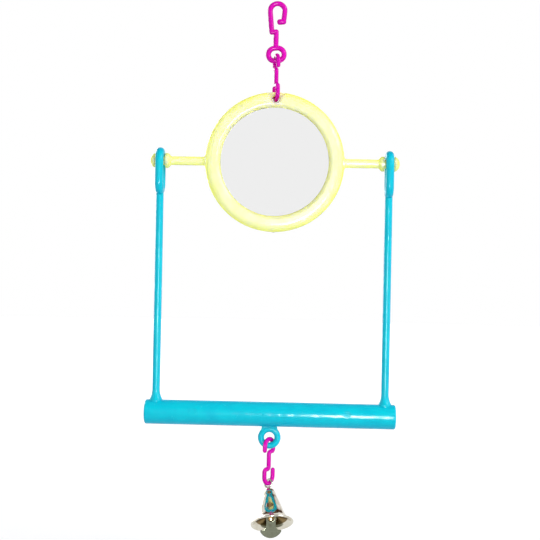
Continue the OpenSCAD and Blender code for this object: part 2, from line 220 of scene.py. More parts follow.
def new_piece(name: str, grids: list[Grid]) -> bpy.types.Object:
    """Makes one closed, smooth mesh piece out of surface patches.

    Args:
        name: The piece's name.
        grids: Its patches, in millimetres and in the row's frame.

    Returns:
        The object, which sits at the origin with its place in its mesh.
    """
    vertices, faces = [], []
    for grid in grids:
        faces += grid.faces(sum(len(v) for v in vertices))
        vertices.append(grid.points.reshape(-1, 3) * MM)
    mesh = bpy.data.meshes.new(name)
    mesh.from_pydata(np.vstack(vertices).tolist(), [], faces)
    built = bmesh.new()
    built.from_mesh(mesh)
    bmesh.ops.recalc_face_normals(built, faces=built.faces)
    built.to_mesh(mesh)
    built.free()
    mesh.polygons.foreach_set("use_smooth", np.ones(len(mesh.polygons), bool))
    return linked(name, mesh)


def place(piece: bpy.types.Object, material: Material, body: Body, slot: Slot) -> bpy.types.Object:
    """Gives a new piece its finish and its body, and reports it.

    Args:
        piece: The piece.
        material: Its finish.
        body: The body that it rides on.
        slot: Not used.

    Returns:
        The same piece.
    """
    piece.data.materials.append(material)
    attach(piece, body.value)
    LOG.info("%s: %d faces on %s", piece.name, len(piece.data.polygons), body.value)
    return piece


def dress(nodes: dict, names: list[str], material: Material) -> None:
    """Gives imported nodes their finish, and reports them.

    Args:
        nodes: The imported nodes' objects by name.
        names: The nodes to dress.
        material: Their finish.
    """
    for name in names:
        for slot in nodes[name].material_slots:
            slot.material = material
        LOG.info("%s: packed solid in %s", name, material.name)


def turned(points: np.ndarray, axis: Axis, degrees: float) -> np.ndarray:
    """Turns points about an axis through the origin, by the right-hand rule.

    Args:
        points: Places, with three coordinates last.
        axis: The axis.
        degrees: The angle.

    Returns:
        The turned places, which are the points times the turn's matrix.
    """
    c, s = math.cos(math.radians(degrees)), math.sin(math.radians(degrees))
    matrix = {
        Axis.X: [[1, 0, 0], [0, c, -s], [0, s, c]],
        Axis.Y: [[c, 0, s], [0, 1, 0], [-s, 0, c]],
        Axis.Z: [[c, -s, 0], [s, c, 0], [0, 0, 1]],
    }[axis]
    return points @ np.array(matrix).T


# The raised lines and marks that a mould leaves


@dataclass(frozen=True)
class Run:
    """A stretch of a moulding's middle line in the XZ plane, with the normals beside it.

    Attributes:
        line: Points along the stretch, as X and Z in millimetres.
        normal: The direction across the stretch at each point, of length one.
        ARC_STEP: About the degrees from one point of a long arc to the next.
        LEAST_POINTS: The fewest points of an arc.
        STRAIGHT_POINTS: The points of a straight stretch.
    """

    line: np.ndarray
    normal: np.ndarray
    ARC_STEP: ClassVar[float] = 4
    LEAST_POINTS: ClassVar[int] = 9
    STRAIGHT_POINTS: ClassVar[int] = 12

    @classmethod
    def arc(cls, centre: tuple[float, float], radius: float, start: float, turn: float) -> "Run":
        """Makes a run round a centre.

        Each point is the centre plus the radius times the cosine and sine of its angle.

        Args:
            centre: The arc's middle, as X and Z.
            radius: The arc's radius.
            start: The angle that it starts at, from +X towards +Z, in degrees.
            turn: How far it goes round, in degrees.

        Returns:
            The run, whose normals point away from the centre.
        """
        points = max(cls.LEAST_POINTS, int(abs(turn) / cls.ARC_STEP))
        angle = np.radians(start + turn * np.linspace(0, 1, points))
        normal = np.stack([np.cos(angle), np.sin(angle)], axis=1)
        return cls(np.array(centre) + radius * normal, normal)

    @classmethod
    def straight(cls, start: tuple[float, float], end: tuple[float, float]) -> "Run":
        """Makes a straight run, whose points are shares of the way from start to end.

        Args:
            start: Its first point, as X and Z.
            end: Its last point.

        Returns:
            The run, whose normals point to the right of the way from start to end.
        """
        share = np.linspace(0, 1, cls.STRAIGHT_POINTS)[:, None]
        along = np.array(end) - np.array(start)
        normal = np.array([along[1], -along[0]]) / np.linalg.norm(along)
        return cls(np.array(start) + share * along, np.tile(normal, (len(share), 1)))


@dataclass(frozen=True)
class Seam:
    """The fine ridge that a mould's two halves leave along a moulding.

    Attributes:
        width: How wide it is.
        height: How far it stands out.
        section: Points round its section.
        end_share: What is left of its section at each end.
    """

    width: float = 0.24
    height: float = 0.07
    section: int = 8
    end_share: float = 0.08

    def ridges(self, runs: list[Run], wire: float, sides: tuple[int, ...] = (-1, 1)) -> list[Grid]:
        """Lays ridges beside runs.

        Each is an ellipse carried along the run, half sunk in the moulding, and it fades in
        and out at its ends as the square root of the sine of the share of its length.

        Args:
            runs: The middle lines.
            wire: The diameter of the round section about them, or nothing if the runs are
                the surface itself.
            sides: Which sides of the runs, as -1 and 1.

        Returns:
            One closed patch for each ridge.
        """
        angle = np.linspace(0, 2 * math.pi, self.section, endpoint=False)
        grids = []
        for run in runs:
            share = np.linspace(0, math.pi, len(run.line))
            fade = np.clip(np.sqrt(np.abs(np.sin(share))), self.end_share, 1)[:, None]
            for side in sides:
                middle = run.line + side * run.normal * wire / 2
                out = side * run.normal[:, None, :] * (fade * np.sin(angle))[..., None]
                flat = middle[:, None, :] + self.height * out
                across = self.width / 2 * fade * np.cos(angle)
                points = np.stack([flat[..., 0], across, flat[..., 1]], axis=-1)
                grids.append(Grid(points, wrap_columns=True, capped=True))
        return grids


@dataclass(frozen=True)
class Stub:
    """The low dome that is left where a mould was filled.

    Attributes:
        radius: The radius of its foot.
        height: Its height.
        sunk: How far its foot lies under the surface.
        rise: The angles at which its first row and its last lie, from the top, in degrees.
        rows: Rows of points from the top to the foot.
        around: Points in each row.
    """

    radius: float
    height: float
    sunk: float
    rise: tuple[float, float] = (4, 120)
    rows: int = 12
    around: int = 24

    def dome(self, foot: tuple[float, float, float], out: tuple[float, float, float]) -> Grid:
        """Makes the stub on a surface.

        Its rows are circles whose radius is the sine, and whose height is the cosine, of an
        angle that goes from near the top to below the foot.

        Args:
            foot: The point of the surface that it stands on.
            out: The direction of its top, of length one.

        Returns:
            The closed patch.
        """
        axis = np.array(out, float)
        beside = np.cross(axis, [1.0, 0, 0] if abs(axis[0]) < 0.9 else [0, 1.0, 0])
        beside /= np.linalg.norm(beside)
        third = np.cross(axis, beside)
        rise = np.radians(np.linspace(*self.rise, self.rows))[:, None, None]
        turn = np.linspace(0, 2 * math.pi, self.around, endpoint=False)[None, :, None]
        ring = np.cos(turn) * beside + np.sin(turn) * third
        middle = np.array(foot) - self.sunk * axis
        points = middle + self.radius * np.sin(rise) * ring + self.height * np.cos(rise) * axis
        return Grid(points, wrap_columns=True, capped=True)


# Finishes


@dataclass(frozen=True)
class MouldedPolypropylene:
    """Injection-moulded polypropylene with a glossy, slightly waxy skin.

    The pigment is a little uneven along the flow, the skin sinks in soft waves over the
    thick parts, the mould's polish leaves a fine grain, and handling leaves dull scuffs.
    Light goes under a millimetre into the strong colours and several into the pale one,
    which softens their shading. At glancing edges the colour turns to the edge colour: partly
    the deeper colour of more plastic seen through, partly painted shade at the silhouettes.

    Attributes:
        name: The material's name.
        colour: The usual colour, as sRGB hex.
        deep: The colour where more pigment shows.
        edge: The colour at glancing edges, partly deeper plastic seen through, partly painted
            shade.
        gloss: The roughness where the skin is clean.
        dull: The roughness in the scuffs.
        glow: The share of light that scatters under the skin.
        glow_depth: How far it goes, in millimetres.
        glow_tint: How far red, green and blue go, as shares of that depth.
        shine: The strength of its reflections, where one half is the plastic's own.
        streak: The size of the pigment's streaks, in millimetres.
        wave: The size of the sink waves.
        wave_depth: The depth of those waves.
        grain: The size of the fine grain. The real one, about 0.1, is too fine to show.
        grain_depth: The depth of the grain.
        scuff: The size of the scuffs.
        scuff_stretch: How densely they lie along each axis, so that less draws them out.
        edge_shade_blend: How far the edge colour and its painted shade reach in from the edges.
        streak_span: The noise between which the pigment goes from usual to deep.
        scuff_span: The noise between which the skin goes from clean to scuffed.
    """

    name: str
    colour: str
    deep: str
    edge: str
    gloss: float
    shine: float
    dull: float = 0.42
    glow: float = 0.1
    glow_depth: float = 0.6
    glow_tint: tuple[float, float, float] = (1.0, 1.0, 1.0)
    streak: float = 9.0
    wave: float = 6.0
    wave_depth: float = 0.05
    grain: float = 0.35
    grain_depth: float = 0.002
    scuff: float = 1.6
    scuff_stretch: tuple[float, float, float] = (1.0, 1.0, 0.6)
    edge_shade_blend: float = 0.35
    streak_span: tuple[float, float] = (0.35, 0.7)
    scuff_span: tuple[float, float] = (0.55, 0.75)

    def build(self) -> Material:
        """Makes the material.

        Returns:
            The material, with its nodes.
        """
        material, tree = new_material(self.name)
        where = add_node(tree, "ShaderNodeTexCoord").outputs["Object"]
        streaks = add_node(
            tree,
            "ShaderNodeTexNoise",
            {"Scale": per_mm(self.streak), "Detail": 3.0, "Roughness": 0.55, "Distortion": 0.6},
            {"Vector": where},
        )
        share = add_node(
            tree,
            "ShaderNodeMapRange",
            {"From Min": self.streak_span[0], "From Max": self.streak_span[1]},
            {"Value": streaks.outputs[0]},
        )
        pigment = add_node(
            tree,
            "ShaderNodeMix",
            {"data_type": "RGBA", 6: linear(self.colour), 7: linear(self.deep)},
            {0: share.outputs[0]},
        )
        # The edge colour at glancing angles is partly painted shade at the silhouettes.
        glance = add_node(tree, "ShaderNodeLayerWeight", {"Blend": self.edge_shade_blend})
        edge_shaded = add_node(
            tree,
            "ShaderNodeMix",
            {"data_type": "RGBA", 7: linear(self.edge)},
            {0: glance.outputs["Facing"], 6: pigment.outputs[2]},
        )
        drawn_out = add_node(
            tree, "ShaderNodeMapping", {"Scale": self.scuff_stretch}, {"Vector": where}
        )
        scuffs = add_node(
            tree,
            "ShaderNodeTexNoise",
            {"Scale": per_mm(self.scuff), "Detail": 6.0, "Roughness": 0.7},
            {"Vector": drawn_out.outputs[0]},
        )
        roughness = add_node(
            tree,
            "ShaderNodeMapRange",
            {
                "From Min": self.scuff_span[0],
                "From Max": self.scuff_span[1],
                "To Min": self.gloss,
                "To Max": self.dull,
            },
            {"Value": scuffs.outputs[0]},
        )
        waves = add_node(
            tree,
            "ShaderNodeTexNoise",
            {"Scale": per_mm(self.wave), "Detail": 1.0, "Roughness": 0.4},
            {"Vector": where},
        )
        sunk = add_node(
            tree,
            "ShaderNodeBump",
            {"Strength": 1.0, "Distance": self.wave_depth * MM},
            {"Height": waves.outputs[0]},
        )
        grains = add_node(
            tree,
            "ShaderNodeTexNoise",
            {"Scale": per_mm(self.grain), "Detail": 2.0, "Roughness": 0.5},
            {"Vector": where},
        )
        skin = add_node(
            tree,
            "ShaderNodeBump",
            {"Strength": 1.0, "Distance": self.grain_depth * MM},
            {"Height": grains.outputs[0], "Normal": sunk.outputs[0]},
        )
        shader = add_node(
            tree,
            "ShaderNodeBsdfPrincipled",
            {
                "IOR": 1.49,
                "Subsurface Weight": self.glow,
                "Subsurface Radius": self.glow_tint,
                "Specular IOR Level": self.shine,
                "Subsurface Scale": self.glow_depth * MM,
            },
            {
                "Base Color": edge_shaded.outputs[2],
                "Roughness": roughness.outputs[0],
                "Normal": skin.outputs[0],
            },
        )
        add_node(tree, "ShaderNodeOutputMaterial", None, {"Surface": shader.outputs[0]})
        return material


@dataclass(frozen=True)
class SilveredSheet:
    """Silvered acrylic sheet: a flat mirror with a trace of dust and fingerprints.

    Attributes:
        name: The material's name.
        colour: What it reflects of white, as sRGB hex.
        clean: The roughness where it is clean.
        smeared: The roughness in the smears.
        smear: The size of the smears, in millimetres.
        ripple: The size of the sheet's ripples.
        ripple_depth: Their depth.
        smear_span: The noise between which the sheet goes from clean to smeared.
    """

    name: str = "silvered_acrylic_mirror"
    colour: str = "#eeeeee"
    clean: float = 0.02
    smeared: float = 0.05
    smear: float = 7.0
    ripple: float = 18.0
    ripple_depth: float = 0.002
    smear_span: tuple[float, float] = (0.5, 0.75)

    def build(self) -> Material:
        """Makes the material.

        Returns:
            The material, with its nodes.
        """
        material, tree = new_material(self.name)
        where = add_node(tree, "ShaderNodeTexCoord").outputs["Object"]
        smears = add_node(
            tree,
            "ShaderNodeTexNoise",
            {"Scale": per_mm(self.smear), "Detail": 5.0, "Roughness": 0.65},
            {"Vector": where},
        )
        roughness = add_node(
            tree,
            "ShaderNodeMapRange",
            {
                "From Min": self.smear_span[0],
                "From Max": self.smear_span[1],
                "To Min": self.clean,
                "To Max": self.smeared,
            },
            {"Value": smears.outputs[0]},
        )
        ripples = add_node(
            tree,
            "ShaderNodeTexNoise",
            {"Scale": per_mm(self.ripple), "Detail": 0.0},
            {"Vector": where},
        )
        skin = add_node(
            tree,
            "ShaderNodeBump",
            {"Strength": 1.0, "Distance": self.ripple_depth * MM},
            {"Height": ripples.outputs[0]},
        )
        shader = add_node(
            tree,
            "ShaderNodeBsdfPrincipled",
            {"Base Color": linear(self.colour), "Metallic": 1.0},
            {"Roughness": roughness.outputs[0], "Normal": skin.outputs[0]},
        )
        add_node(tree, "ShaderNodeOutputMaterial", None, {"Surface": shader.outputs[0]})
        return material


@dataclass(frozen=True)
class NickelPlate:
    """Bright nickel plate over steel, with the press's faint rings and a warm tarnish.

    Attributes:
        name: The material's name.
        colour: The bright metal, as sRGB hex.
        tarnish: The metal where it has browned.
        polish: The roughness where it is bright.
        worn: The roughness where it is worn.
        ring: The spacing of the press's rings along the piece's own axis, in millimetres.
        ring_depth: The depth of those rings.
        cloud: The size of the tarnish's clouds.
        pit: The size of the worn spots and their pits.
        pit_depth: The depth of the pits.
        cloud_span: The noise between which the tarnish comes in.
        cloud_share: The most of the tarnish's colour that shows.
        pit_span: The noise between which the plate goes from bright to worn.
        origin: A point on that axis, in millimetres.
        turn: The axis's turn, as angles about X, Y and Z in degrees.
    """

    name: str
    colour: str = "#ddd7ca"
    tarnish: str = "#b9a68a"
    polish: float = 0.09
    worn: float = 0.24
    ring: float = 5.0265
    ring_depth: float = 0.003
    cloud: float = 4.0
    pit: float = 0.9
    pit_depth: float = 0.003
    cloud_span: tuple[float, float] = (0.52, 0.78)
    cloud_share: float = 0.7
    pit_span: tuple[float, float] = (0.5, 0.75)
    origin: tuple[float, float, float] = (0.0, 0.0, 0.0)
    turn: tuple[float, float, float] = (0.0, 0.0, 0.0)

    def build(self) -> Material:
        """Makes the material.

        Returns:
            The material, with its nodes.
        """
        material, tree = new_material(self.name)
        where = add_node(tree, "ShaderNodeTexCoord").outputs["Object"]
        own = add_node(
            tree,
            "ShaderNodeMapping",
            {
                "vector_type": "TEXTURE",
                "Location": tuple(v * MM for v in self.origin),
                "Rotation": tuple(math.radians(v) for v in self.turn),
            },
            {"Vector": where},
        ).outputs[0]
        clouds = add_node(
            tree,
            "ShaderNodeTexNoise",
            {"Scale": per_mm(self.cloud), "Detail": 4.0, "Roughness": 0.6},
            {"Vector": own},
        )
        browned = add_node(
            tree,
            "ShaderNodeMapRange",
            {
                "From Min": self.cloud_span[0],
                "From Max": self.cloud_span[1],
                "To Max": self.cloud_share,
            },
            {"Value": clouds.outputs[0]},
        )
        metal = add_node(
            tree,
            "ShaderNodeMix",
            {"data_type": "RGBA", 6: linear(self.colour), 7: linear(self.tarnish)},
            {0: browned.outputs[0]},
        )
        wear = add_node(
            tree,
            "ShaderNodeTexNoise",
            {"Scale": per_mm(self.pit), "Detail": 5.0, "Roughness": 0.7},
            {"Vector": own},
        )
        roughness = add_node(
            tree,
            "ShaderNodeMapRange",
            {
                "From Min": self.pit_span[0],
                "From Max": self.pit_span[1],
                "To Min": self.polish,
                "To Max": self.worn,
            },
            {"Value": wear.outputs[0]},
        )
        rings = add_node(
            tree,
            "ShaderNodeTexWave",
            {
                "wave_type": "BANDS",
                "bands_direction": "Z",
                "Scale": 2 * math.pi * per_mm(self.ring) / WAVE_RADIANS,
                "Distortion": 0.4,
                "Detail": 1.0,
            },
            {"Vector": own},
        )
        pressed = add_node(
            tree,
            "ShaderNodeBump",
            {"Strength": 1.0, "Distance": self.ring_depth * MM},
            {"Height": rings.outputs[1]},
        )
        pits = add_node(
            tree,
            "ShaderNodeBump",
            {"Strength": 1.0, "Distance": self.pit_depth * MM},
            {"Height": wear.outputs[0], "Normal": pressed.outputs[0]},
        )
        shader = add_node(
            tree,
            "ShaderNodeBsdfPrincipled",
            {"Metallic": 1.0},
            {
                "Base Color": metal.outputs[2],
                "Roughness": roughness.outputs[0],
                "Normal": pits.outputs[0],
            },
        )
        add_node(tree, "ShaderNodeOutputMaterial", None, {"Surface": shader.outputs[0]})
        return material


# Sub-assemblies


@dataclass(frozen=True)
class HangerHook:
    """The magenta hook, its moulding seam and the stub where its mould was filled.

    Attributes:
        wire: The thickness of its round section.
        arch_r: The radius of its arch, to the section's middle.
        shank_drop: How far the straight shank goes down from the arch.
        limb_drop: How far the short limb goes down.
        limb_lean: How far that limb leans inwards, in degrees.
        jog: How far the shank's end steps in to the stem.
        stem_drop: How far the stem goes down to the ring.
        stem_lean: How far the stem leans, in degrees.
        ring_r: The radius of the ring's two ends.
        ring_straight: The length of the straights between them.
        top_gap: How far the seam stays off the arch's highest point, in degrees.
        seam: Its moulding seam.
        stub: What the mould's gate left.
        stub_z: The height of that stub on the shank.
    """

    wire: float = 2.4
    arch_r: float = 3.55
    shank_drop: float = 10.0
    limb_drop: float = 5.4
    limb_lean: float = 11.0
    jog: float = 2.2
    stem_drop: float = 7.8
    stem_lean: float = 6.0
    ring_r: float = 3.1
    ring_straight: float = 1.35
    top_gap: float = 13.0
    seam: Seam = Seam()
    stub: Stub = Stub(radius=0.5, height=0.16, sunk=0.02)
    stub_z: float = -4.0

    def runs(self) -> list[Run]:
        """Lists the stretches of the hook's middle line, with its shank upright.

        Returns:
            The arch's two sides, the shank, the limb, the stem and the ring.
        """
        foot = self.arch_r - self.limb_drop * math.tan(math.radians(self.limb_lean))
        stem_x = self.jog - self.arch_r
        ring_x = stem_x - self.stem_drop * math.tan(math.radians(self.stem_lean))
        top = -self.shank_drop - self.stem_drop
        low, half = top - 2 * self.ring_r, self.ring_straight / 2
        return [
            Run.arc((0, 0), self.arch_r, 0, 90 - self.top_gap),
            Run.arc((0, 0), self.arch_r, 90 + self.top_gap, 90 - self.top_gap),
            Run.straight((-self.arch_r, 0), (-self.arch_r, -self.shank_drop)),
            Run.straight((self.arch_r, 0), (foot, -self.limb_drop)),
            Run.straight((stem_x, -self.shank_drop), (ring_x, top)),
            Run.arc((ring_x + half, top - self.ring_r), self.ring_r, -90, 180),
            Run.arc((ring_x - half, top - self.ring_r), self.ring_r, 90, 180),
            Run.straight((ring_x - half, low), (ring_x + half, low)),
        ]

    def lean(self) -> float:
        """Works out how far the hook leans so that its ring hangs under the cage wire.

        Returns:
            The angle in degrees, towards +X at the bottom.
        """
        bottom = self.runs()[-1].line
        middle = bottom.mean(axis=0)
        return math.degrees(math.atan2(-middle[0], -middle[1]))

    def build(self, nodes: dict, finish: Material) -> None:
        """Dresses the hook and adds what its mould left.

        Args:
            nodes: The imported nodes' objects by name.
            finish: The hook's plastic.
        """
        dress(nodes, ["hanger_hook"], finish)
        grids = self.seam.ridges(self.runs(), self.wire)
        grids.append(self.stub.dome((-self.arch_r - self.wire / 2, 0, self.stub_z), (-1, 0, 0)))
        tilted = [replace(g, points=turned(g.points, Axis.Y, -self.lean())) for g in grids]
        place(new_piece("hook_seam", tilted), finish, Body.HOOK, Slot.MAGENTA)


@dataclass(frozen=True)
class OpenLink:
    """One open S-shaped magenta link with its moulding seam.

    Attributes:
        node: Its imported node.
        body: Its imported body.
        top: The height of its upper bow's middle.
        yaw: Its turn about Z, in degrees.
        wire: The thickness of its round section.
        bow_r: The radius of both bows, to the section's middle.
        upper_limb: The length of the upper bow's limb, from the bow to its jog.
        lower_limb: The length of the lower bow's limb.
        upper_tip: The length of the upper bow's open end.
        lower_tip: The length of the lower bow's open end.
        shank: The length of the straight between the jogs.
        jog_r: The radius of the jogs' bends.
        bow_gap: How far the seam stays off the bows' lowest and highest points, in degrees.
        seam: Its moulding seam.
    """

    node: str
    body: Body
    top: float
    yaw: float
    wire: float = 2.1
    bow_r: float = 3.5
    upper_limb: float = 1.4
    lower_limb: float = 2.2
    upper_tip: float = 1.7
    lower_tip: float = 2.6
    shank: float = 5.6
    jog_r: float = 1.3
    bow_gap: float = 32.0
    seam: Seam = Seam()

    def jog(self, height: float, turn: int) -> list[Run]:
        """Lists the runs of one jog.

        Args:
            height: Where its outer bend starts.
            turn: 1 for the upper jog, and -1 for the lower one, which is half turned.

        Returns:
            The outer bend, the level rod and the inner bend.
        """
        r, b = self.jog_r, self.bow_r
        start, inner = (-90, 90) if turn > 0 else (90, -90)
        level = height - turn * r
        return [
            Run.arc((turn * (b - r), height), r, start, 90),
            Run.straight((turn * r, level), (turn * (b - r), level)),
            Run.arc((turn * r, height - turn * 2 * r), r, inner, 90),
        ]

    def runs(self) -> list[Run]:
        """Lists the seam's stretches, which leave the bows bare where other pieces bear.

        Returns:
            The runs from the upper bow down, with the link's shank on Z.
        """
        b, clear = self.bow_r, 90 - self.bow_gap
        low = -(self.upper_limb + self.lower_limb + self.shank + 4 * self.jog_r)
        shank_top = -self.upper_limb - 2 * self.jog_r
        return [
            Run.arc((0, 0), b, 0, clear),
            Run.arc((0, 0), b, 180, -clear),
            Run.straight((-b, -self.upper_tip), (-b, 0)),
            Run.straight((b, -self.upper_limb), (b, 0)),
            *self.jog(-self.upper_limb, 1),
            Run.straight((0, shank_top - self.shank), (0, shank_top)),
            *self.jog(low + self.lower_limb, -1),
            Run.straight((-b, low), (-b, low + self.lower_limb)),
            Run.arc((0, low), b, 180, clear),
            Run.arc((0, low), b, 0, -clear),
            Run.straight((b, low), (b, low + self.lower_tip)),
        ]

    def build(self, nodes: dict, finish: Material) -> None:
        """Dresses the link and adds its seam.

        Args:
            nodes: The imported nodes' objects by name.
            finish: The link's plastic.
        """
        dress(nodes, [self.node], finish)
        up = np.array([0, 0, self.top])
        grids = [
            replace(g, points=turned(g.points, Axis.Z, self.yaw) + up)
            for g in self.seam.ridges(self.runs(), self.wire)
        ]
        place(new_piece(f"{self.node}_seam", grids), finish, self.body, Slot.MAGENTA)


@dataclass(frozen=True)
class MirrorUnit:
    """The pale yellow rim with its arms, and the two mirrors in it.

    Attributes:
        centre: The height of the rim's middle.
        rim_r: The radius of the rim's outside.
        arm_r: The radius of the arms.
        arm_start: Where the arms' seams start, from the rim's middle.
        collar_x: Where each collar starts to widen, is wide, and ends.
        collar_r: The radius of the collars.
        tab_gap: How far the rim's seam stays off its top and bottom, in degrees.
        seam: Its moulding seam.
        stub: What the mould's gate left under the rim.
    """

    centre: float = -72.9979
    rim_r: float = 33.6
    arm_r: float = 2.05
    arm_start: float = 34.4
    collar_x: tuple[float, float, float] = (50.0, 51.3, 52.8)
    collar_r: float = 3.5
    tab_gap: float = 7.0
    seam: Seam = Seam()
    stub: Stub = Stub(radius=0.9, height=0.3, sunk=0.04)

    def build(self, nodes: dict, rim: Material, mirror: Material) -> None:
        """Dresses the rim and the mirrors, and adds what the rim's mould left.

        Args:
            nodes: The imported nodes' objects by name.
            rim: The rim's plastic.
            mirror: The mirrors' finish.
        """
        dress(nodes, ["mirror_rim"], rim)
        dress(nodes, ["front_mirror", "back_mirror"], mirror)
        narrow, wide, end = self.collar_x
        half_turn = 180 - 2 * self.tab_gap
        runs = [Run.arc((0, 0), self.rim_r, a + self.tab_gap, half_turn) for a in (90, 270)]
        for x in (-1, 1):
            for z in (-1, 1):
                small, large = z * self.arm_r, z * self.collar_r
                runs += [
                    Run.straight((x * self.arm_start, small), (x * narrow, small)),
                    Run.straight((x * narrow, small), (x * wide, large)),
                    Run.straight((x * wide, large), (x * end, large)),
                ]
        grids = self.seam.ridges(runs, 0, (1,))
        grids.append(self.stub.dome((0, 0, -self.rim_r), (0, 0, -1)))
        grids = [replace(g, points=g.points + np.array([0, 0, self.centre])) for g in grids]
        place(new_piece("rim_seam", grids), rim, Body.MIRROR, Slot.YELLOW)


@dataclass(frozen=True)
class PerchFrame:
    """The turquoise perch frame with its seam and the stub where its mould was filled.

    Attributes:
        centre: The height of the perch's middle.
        perch_r: The radius of the perch.
        half: Half of the perch's length.
        rounding: The rounding of its ends.
        upright_x: The distance of the uprights' middles from the swing's middle.
        upright_r: Half of the uprights' width.
        upright_span: The heights above the perch's middle between which their seams run.
        seam: Its moulding seam.
        stub: What the mould's gate left on the perch's front.
        stub_x: How far along the perch that stub is, from its middle.
        stub_z: Its height above the perch's middle.
    """

    centre: float = -194.5979
    perch_r: float = 5.9
    half: float = 60.4
    rounding: float = 0.9
    upright_x: float = 55.25
    upright_r: float = 1.8
    upright_span: tuple[float, float] = (11.2, 106.4)
    seam: Seam = Seam()
    stub: Stub = Stub(radius=0.45, height=0.18, sunk=0.03)
    stub_x: float = -2.9
    stub_z: float = 0.6

    def build(self, nodes: dict, finish: Material) -> None:
        """Dresses the frame and adds what its mould left.

        Args:
            nodes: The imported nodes' objects by name.
            finish: The frame's plastic.
        """
        dress(nodes, ["perch_frame"], finish)
        flat = self.half - self.rounding
        runs = [Run.straight((-flat, z), (flat, z)) for z in (-self.perch_r, self.perch_r)]
        low, high = self.upright_span
        for x in (-1, 1):
            for side in (-1, 1):
                at = x * self.upright_x + side * self.upright_r
                runs.append(Run.straight((at, low), (at, high)))
        grids = self.seam.ridges(runs, 0, (1,))
        grids.append(self.stub.dome((self.stub_x, -self.perch_r, self.stub_z), (0, -1, 0)))
        grids = [replace(g, points=g.points + np.array([0, 0, self.centre])) for g in grids]
        place(new_piece("perch_seam", grids), finish, Body.PERCH, Slot.TURQUOISE)


